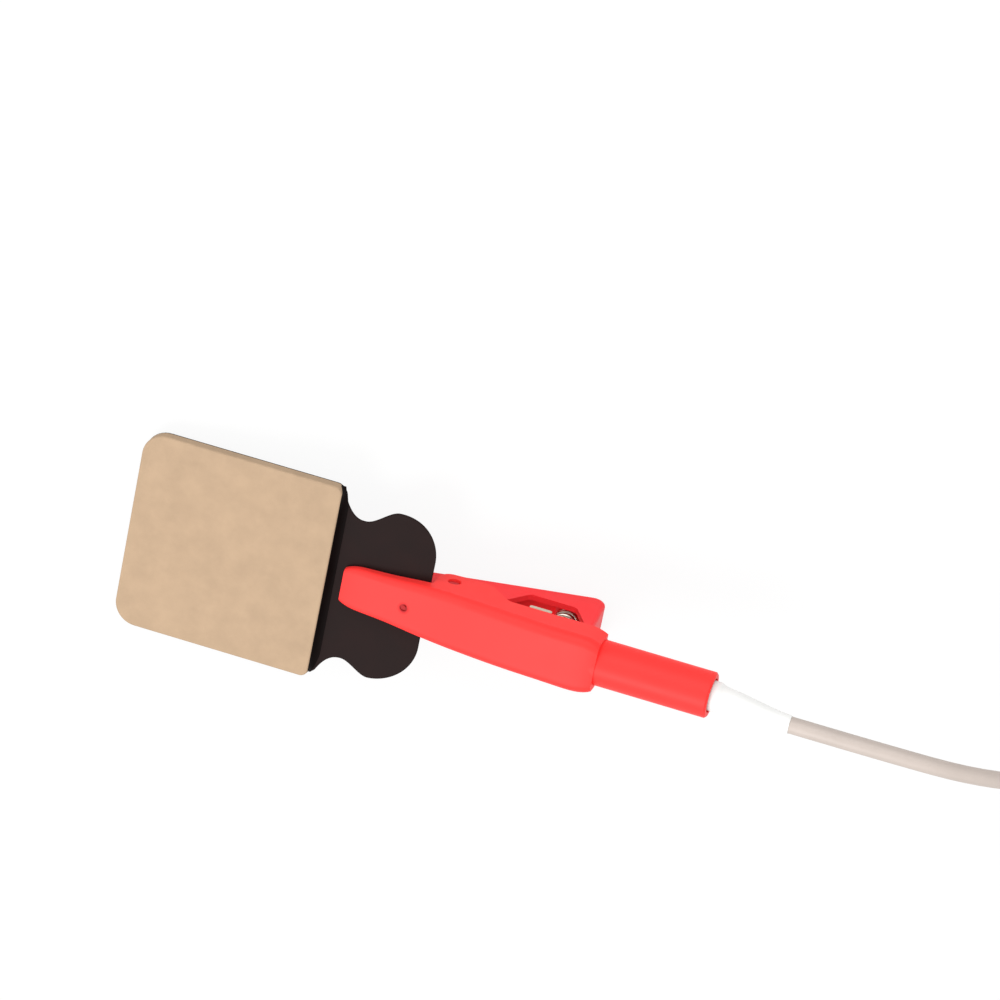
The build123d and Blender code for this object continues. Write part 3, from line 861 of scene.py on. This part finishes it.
def film_sheet():
    """The conductive film: pad and tab as one thin sheet, with rounded cut edges.

    The tab's middle line leans: it lies at y = aside + lean * x, from just beyond the pad's edge.
    """
    low, high = -FILM_THICKNESS / 2, FILM_THICKNESS / 2
    inset = FILM_THICKNESS / 3
    lobe_x = LOBE_CENTRE[0]
    x_pad = spaced(-PAD_SIDE, FILM_PAD_END, FILM_PAD_ROWS)
    x_neck = np.linspace(0, lobe_x, FILM_NECK_ROWS)[:-1]
    x_lobe = lobe_x + LOBE_RADIUS * np.sin(np.linspace(0, np.pi / 2, FILM_LOBE_ROWS))
    x = np.concatenate([x_pad, x_neck, x_lobe])
    corner = np.where(x > -PAD_TAB_CORNER, tab_half_width(np.zeros_like(x)), 0)
    width = np.where(x < 0, np.maximum(pad_half_width(np.minimum(x, 0)), corner), tab_half_width(x))
    full = outline_grid(x, width, FILM_COLUMNS)
    x_slim = np.clip(x, -PAD_SIDE + inset, TAB_LENGTH - inset)
    slim = outline_grid(x_slim, width - inset, FILM_COLUMNS)
    for grid in (full, slim):
        along = grid[..., 0]
        grid[..., 1] += (FILM_ASIDE + FILM_LEAN * along) * np.clip(along / FILM_LEAN_START, 0, 1)
    return slab("film_leaf", [slim, full, full, slim], [low, low / 2, high / 2, high], film_lift)


# Painted shadow along the foam's tab-side edge: the film's colour darkened by the tone, and the dark strip's sizes
EDGE_SHADE_TONE = 0.3
EDGE_SHADE_WIDTH = 0.66
EDGE_SHADE_HOLLOW = 1.6
EDGE_SHADE_SHORT = 0.12
EDGE_SHADE_RUNOUT = 2.4
EDGE_SHADE_TAPER = 0.8
EDGE_SHADE_SINK = 2.5
EDGE_SHADE_BEHIND = 0.03
EDGE_SHADE_PROUD = 0.02
EDGE_SHADE_SECTION_POINTS = 14
EDGE_SHADE_ROWS = 81


def edge_shadow_strip():
    """A dark strip of painted shadow along the pad's tab side: a hollow curve from the foam's top down to the
    film.

    Its section is x = width * s ** hollow, z = height * (1 - s) ** hollow for s from 0 to 1, closed
    by the foam's wall. It is carried along y between the pad's tab-side corners, follows their
    rounding, and over its runout thins and sinks to nothing towards each end.
    """
    low, height = FILM_THICKNESS / 2, FOAM_THICKNESS - EDGE_SHADE_SHORT
    s = np.linspace(0, 1, EDGE_SHADE_SECTION_POINTS)
    y = np.linspace(-1, 1, EDGE_SHADE_ROWS) * (PAD_SIDE / 2 - EDGE_SHADE_SHORT)
    into = np.clip(abs(y) - (PAD_SIDE / 2 - PAD_TAB_CORNER), 0, PAD_TAB_CORNER)
    wall = np.sqrt(PAD_TAB_CORNER**2 - into**2) - PAD_TAB_CORNER
    thin = np.clip((PAD_SIDE / 2 - abs(y)) / EDGE_SHADE_RUNOUT, 0, 1) ** EDGE_SHADE_TAPER
    tall = height * np.clip(EDGE_SHADE_SINK * thin, 0, 1)
    grid = np.empty((len(y), len(s) + 3, 3))
    grid[..., 0] = wall[:, None]
    grid[..., 1] = (y + PAD_SHIFT_Y)[:, None]
    grid[..., 2] = low
    grid[:, :2, 0] -= EDGE_SHADE_BEHIND
    grid[:, 1, 2] += tall
    grid[:, 2:-1, 0] += EDGE_SHADE_PROUD + EDGE_SHADE_WIDTH * thin[:, None] * s**EDGE_SHADE_HOLLOW
    grid[:, 2:-1, 2] += EDGE_SHADE_PROUD + tall[:, None] * (1 - s) ** EDGE_SHADE_HOLLOW
    grid[:, -1, 0] += EDGE_SHADE_PROUD + EDGE_SHADE_WIDTH * thin
    return surface("edge_shadow_strip", to_frame(grid))


# Painted shade over the gate's small recess on the shell's top, in the clip's millimetres
GATE_SHADE_CENTRE = (8.9, -0.12, 1.76)
GATE_SHADE_RADIUS = 0.75
GATE_SHADE_TONE = 0.4


def paint_gate_shade(made, colour):
    """A darker spot of painted shade over the small recess where the moulding's gate was cut off: full to half its
    radius, then fading out.
    """
    tree = made.node_tree
    shader = tree.nodes["Principled BSDF"]
    before = shader.inputs["Base Color"].links[0].from_socket
    apart = tree.nodes.new("ShaderNodeVectorMath")
    apart.operation = "DISTANCE"
    link(tree, tree.nodes.new("ShaderNodeTexCoord").outputs["Object"], apart.inputs[0])
    home = nodes["socket_shell"].matrix_world.inverted()
    apart.inputs[1].default_value = home @ Vector(to_frame(GATE_SHADE_CENTRE))
    fade = tree.nodes.new("ShaderNodeMapRange")
    fade.inputs["From Min"].default_value = GATE_SHADE_RADIUS / 2 * MM
    fade.inputs["From Max"].default_value = GATE_SHADE_RADIUS * MM
    fade.inputs["To Min"].default_value, fade.inputs["To Max"].default_value = 1.0, 0.0
    link(tree, apart.outputs["Value"], fade.inputs["Value"])
    mix = tree.nodes.new("ShaderNodeMix")
    mix.data_type = "RGBA"
    link(tree, fade.outputs["Result"], mix.inputs["Factor"])
    link(tree, before, mix.inputs["A"])
    mix.inputs["B"].default_value = (*scaled(colour, GATE_SHADE_TONE), 1)
    link(tree, mix.outputs["Result"], shader.inputs["Base Color"])


class ELECTRODE_OT_clip(bpy.types.Operator):
    """Finishes the two mouldings of the clip"""

    bl_idname = "electrode.make_clip"
    bl_label = "Clip"

    def execute(self, context):
        colours = context.scene.electrode_colours
        satin = {"fine": 3000.0, "spread": 0.03, "specular_ior_level": 0.12}
        shell = moulded("Red shell", colours.shell, 0.42, **satin)
        # Painted shade: the lever's red, darkened, over the gate's recess
        paint_gate_shade(shell, colours.lever)
        finish_node("socket_shell", shell)
        # Painted shade: the lever's moulding takes the darker red
        finish_node("lever_shell", moulded("Red lever", colours.lever, 0.42, **satin))
        return {"FINISHED"}


# Lips of the upper strip, in the clip's millimetres
LIP_X = (21.5, 23.9)
LIP_SECTION = [
    (2.4, -0.62), (2.98, -0.62), (3.08, -0.66), (3.12, -0.76),
    (3.12, -1.08), (3.0, -1.08), (3.0, -0.74), (2.4, -0.74),
]
LIP_ROWS = 12
LIP_END = 0.3
LIP_END_SHARE = 0.25


def strip_lips():
    """The upper strip's lips: thin edges of its wings, folded out and down below the shell's skirts.

    Each is the (y, z) section carried along x, less deep by its end share times t squared as t
    goes from 0 to 1 over each end. The second is the first with y turned over.
    """
    section = np.array(LIP_SECTION)
    along = np.linspace(*LIP_X, LIP_ROWS)
    from_middle = abs(along - np.mean(LIP_X)) - (np.ptp(LIP_X) / 2 - LIP_END)
    pull = 1 - np.clip(from_middle / LIP_END, 0, 1) ** 2 * LIP_END_SHARE
    low = LIP_SECTION[0][1]
    grid = np.empty((len(along), len(section), 3))
    grid[..., 0] = along[:, None]
    grid[..., 1] = section[:, 0]
    grid[..., 2] = low + (section[:, 1] - low) * pull[:, None]
    both = np.stack([grid, grid[:, ::-1] * (1, -1, 1)])
    return surface("strip_lips", to_frame(both), smooth=False)


PLATED_STEEL = (0.78, 0.78, 0.76)
STRIP_STEEL = (0.6, 0.52, 0.41)
SPRING_STEEL = (0.62, 0.6, 0.52)
BRASS = (0.78, 0.62, 0.33)
# The pin's red, darkened by painted shade of the recess it sits in
PIN_SHADED_RED = (190, 26, 32)


class ELECTRODE_OT_contacts(bpy.types.Operator):
    """Makes the strip's lips, and finishes the jaws, the pin, the sleeve and the contacts"""

    bl_idname = "electrode.make_contacts"
    bl_label = "Contacts"

    def execute(self, context):
        plated = metal("Plated steel", PLATED_STEEL, 0.28)
        for name in ("plug_pin", "connector_contact"):
            finish_node(name, plated)
        strip = metal("Dull strip", STRIP_STEEL, 0.5, metallic=0.5)
        for name in ("fixed_jaw", "moving_jaw"):
            finish_node(name, strip)
        place_piece(strip_lips(), strip, "clip", slot="plated_steel")
        # Painted shade: the red pin is dark for the shade of its recess
        finish_node("pivot_pin", moulded("Pin", linear(*PIN_SHADED_RED), 0.5, spread=0.1))
        finish_node("socket_sleeve", metal("Turned brass", BRASS, 0.3))
        return {"FINISHED"}


# Spring, in the clip's millimetres: its line, its reach and the heights of its ends
SPRING_X = 24.5
SPRING_RADIUS = 1.35
SPRING_LOW = -7.27
SPRING_HIGH = 2.36
SPRING_STEPS = 40
WIRE_SIDES = 14


class ELECTRODE_OT_spring(bpy.types.Operator):
    """Makes the spring, whose upper end sits in the shell and whose lower end sits in the lever"""

    bl_idname = "electrode.make_spring"
    bl_label = "Spring"

    def execute(self, context):
        sizes = context.scene.electrode_sizes
        piece = spring_piece(sizes.wire, sizes.spring_turns)
        place_piece(piece, metal("Spring wire", SPRING_STEEL, 0.3), None, "spring", slot="spring_wire")
        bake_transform(piece)
        return {"FINISHED"}


def spring_piece(wire, turns):
    """A round wire along a helix, with closed end turns.

    The helix rises by a wire's thickness over each end turn and evenly between. With c and s the
    cosine and sine round the wire, its surface is the helix + wire / 2 * (c * outward + s * other),
    where other is square to outward and to the helix.
    """
    low, high = SPRING_LOW + wire / 2, SPRING_HIGH - wire / 2
    total = turns + 2
    turn = np.linspace(0, total, total * SPRING_STEPS)
    height = np.interp(turn, [0, 1, total - 1, total], [low, low + wire, high - wire, high])
    angle = 2 * np.pi * turn
    outward = np.stack([np.cos(angle), np.sin(angle), np.zeros_like(angle)], 1)
    middle = np.stack([np.full_like(angle, SPRING_X), np.zeros_like(angle), height], 1)
    line = middle + (SPRING_RADIUS - wire / 2) * outward
    tangent = np.gradient(line, axis=0)
    tangent /= np.linalg.norm(tangent, axis=1)[:, None]
    other = np.cross(tangent, outward)
    ring = round_angles(WIRE_SIDES)[None, :, None]
    grid = line[:, None] + wire / 2 * (np.cos(ring) * outward[:, None] + np.sin(ring) * other[:, None])
    return surface("spring_coil", to_frame(grid))


# Socket tube and plug, in the clip's millimetres
TUBE_CENTRE_Z = 0.93
TUBE_END_X = 42.5
PLUG_LENGTH = 8.6
PLUG_BEND = -0.67
PLUG_NECK = 0.9
PLUG_SIDES = 64
PLUG_CONE_ROWS = 24
PLUG_COLLAR = [
    (0.8, 1.41), (-0.5, 1.41), (-0.5, 1.45), (-0.4, 1.57), (-0.25, 1.6), (0.55, 1.6), (0.75, 1.56)
]
PLUG_SHOULDER = [(0.95, 1.46), (1.2, 1.37)]
PLUG_CONE = [(1.6, 1.31), (8.45, 0.99)]
PLUG_END_RADIUS = 0.93


def plug_moulding():
    """The plug's soft moulding: a collar round the pin, and a slim cone that bends to the lead.

    Rings of (distance from the socket's mouth, radius) stand square to the socket's axis. With s
    from 0 at the neck to 1 at the end, their middle is aside by bend * s * s * (3 - 2 * s).
    """
    cone = np.linspace(*PLUG_CONE, PLUG_CONE_ROWS)
    rings = np.vstack([PLUG_COLLAR, PLUG_SHOULDER, cone, [(PLUG_LENGTH, PLUG_END_RADIUS)]])
    aside = PLUG_BEND * smooth_step((rings[:, 0] - PLUG_NECK) / (PLUG_LENGTH - PLUG_NECK))
    angle = round_angles(PLUG_SIDES)
    grid = np.empty((len(rings), len(angle), 3))
    grid[..., 0] = TUBE_END_X + rings[:, :1]
    grid[..., 1] = aside[:, None] + rings[:, 1:] * np.cos(angle)
    grid[..., 2] = TUBE_CENTRE_Z + rings[:, 1:] * np.sin(angle)
    return surface("plug_moulding", to_frame(grid))


class ELECTRODE_OT_plug(bpy.types.Operator):
    """Makes the plug's soft moulding, and finishes the tie, the far connector and its ring"""

    bl_idname = "electrode.make_plug"
    bl_label = "Plug"

    def execute(self, context):
        colours = context.scene.electrode_colours
        white = moulded("White moulding", colours.plug, 0.55, fine=2400.0, spread=0.02)
        place_piece(plug_moulding(), white, "clip", "plug_body", slot="white_vinyl")
        for name in ("connector_body", "lead_tie"):
            finish_node(name, white)
        finish_node("id_ring", moulded("Red ring", colours.lever, 0.36, fine=3000.0, spread=0.03))
        return {"FINISHED"}


class ELECTRODE_PT_panel(bpy.types.Panel):
    """Lists the electrode's pieces in the 3D view's sidebar"""

    bl_idname = "ELECTRODE_PT_panel"
    bl_label = "Electrode"
    bl_space_type = "VIEW_3D"
    bl_region_type = "UI"
    bl_category = "Electrode"

    def draw(self, context):
        for group in (context.scene.electrode_sizes, context.scene.electrode_colours):
            for name in group.__annotations__:
                self.layout.prop(group, name)
        for operator in OPERATORS:
            self.layout.operator(operator.bl_idname)


OPERATORS = (
    ELECTRODE_OT_stage,
    ELECTRODE_OT_plug,
    ELECTRODE_OT_lead,
    ELECTRODE_OT_pad,
    ELECTRODE_OT_clip,
    ELECTRODE_OT_contacts,
    ELECTRODE_OT_spring,
)
CLASSES = (ElectrodeColours, ElectrodeSizes, *OPERATORS, ELECTRODE_PT_panel)


def register():
    for made in CLASSES:
        bpy.utils.register_class(made)
    bpy.types.Scene.electrode_sizes = PointerProperty(type=ElectrodeSizes)
    bpy.types.Scene.electrode_colours = PointerProperty(type=ElectrodeColours)


def unregister():
    del bpy.types.Scene.electrode_colours
    del bpy.types.Scene.electrode_sizes
    for made in reversed(CLASSES):
        bpy.utils.unregister_class(made)


def main():
    """Makes every piece in turn."""
    register()
    for operator in OPERATORS:
        group, name = operator.bl_idname.split(".")
        getattr(getattr(bpy.ops, group), name)()


if __name__ == "__main__":
    main()
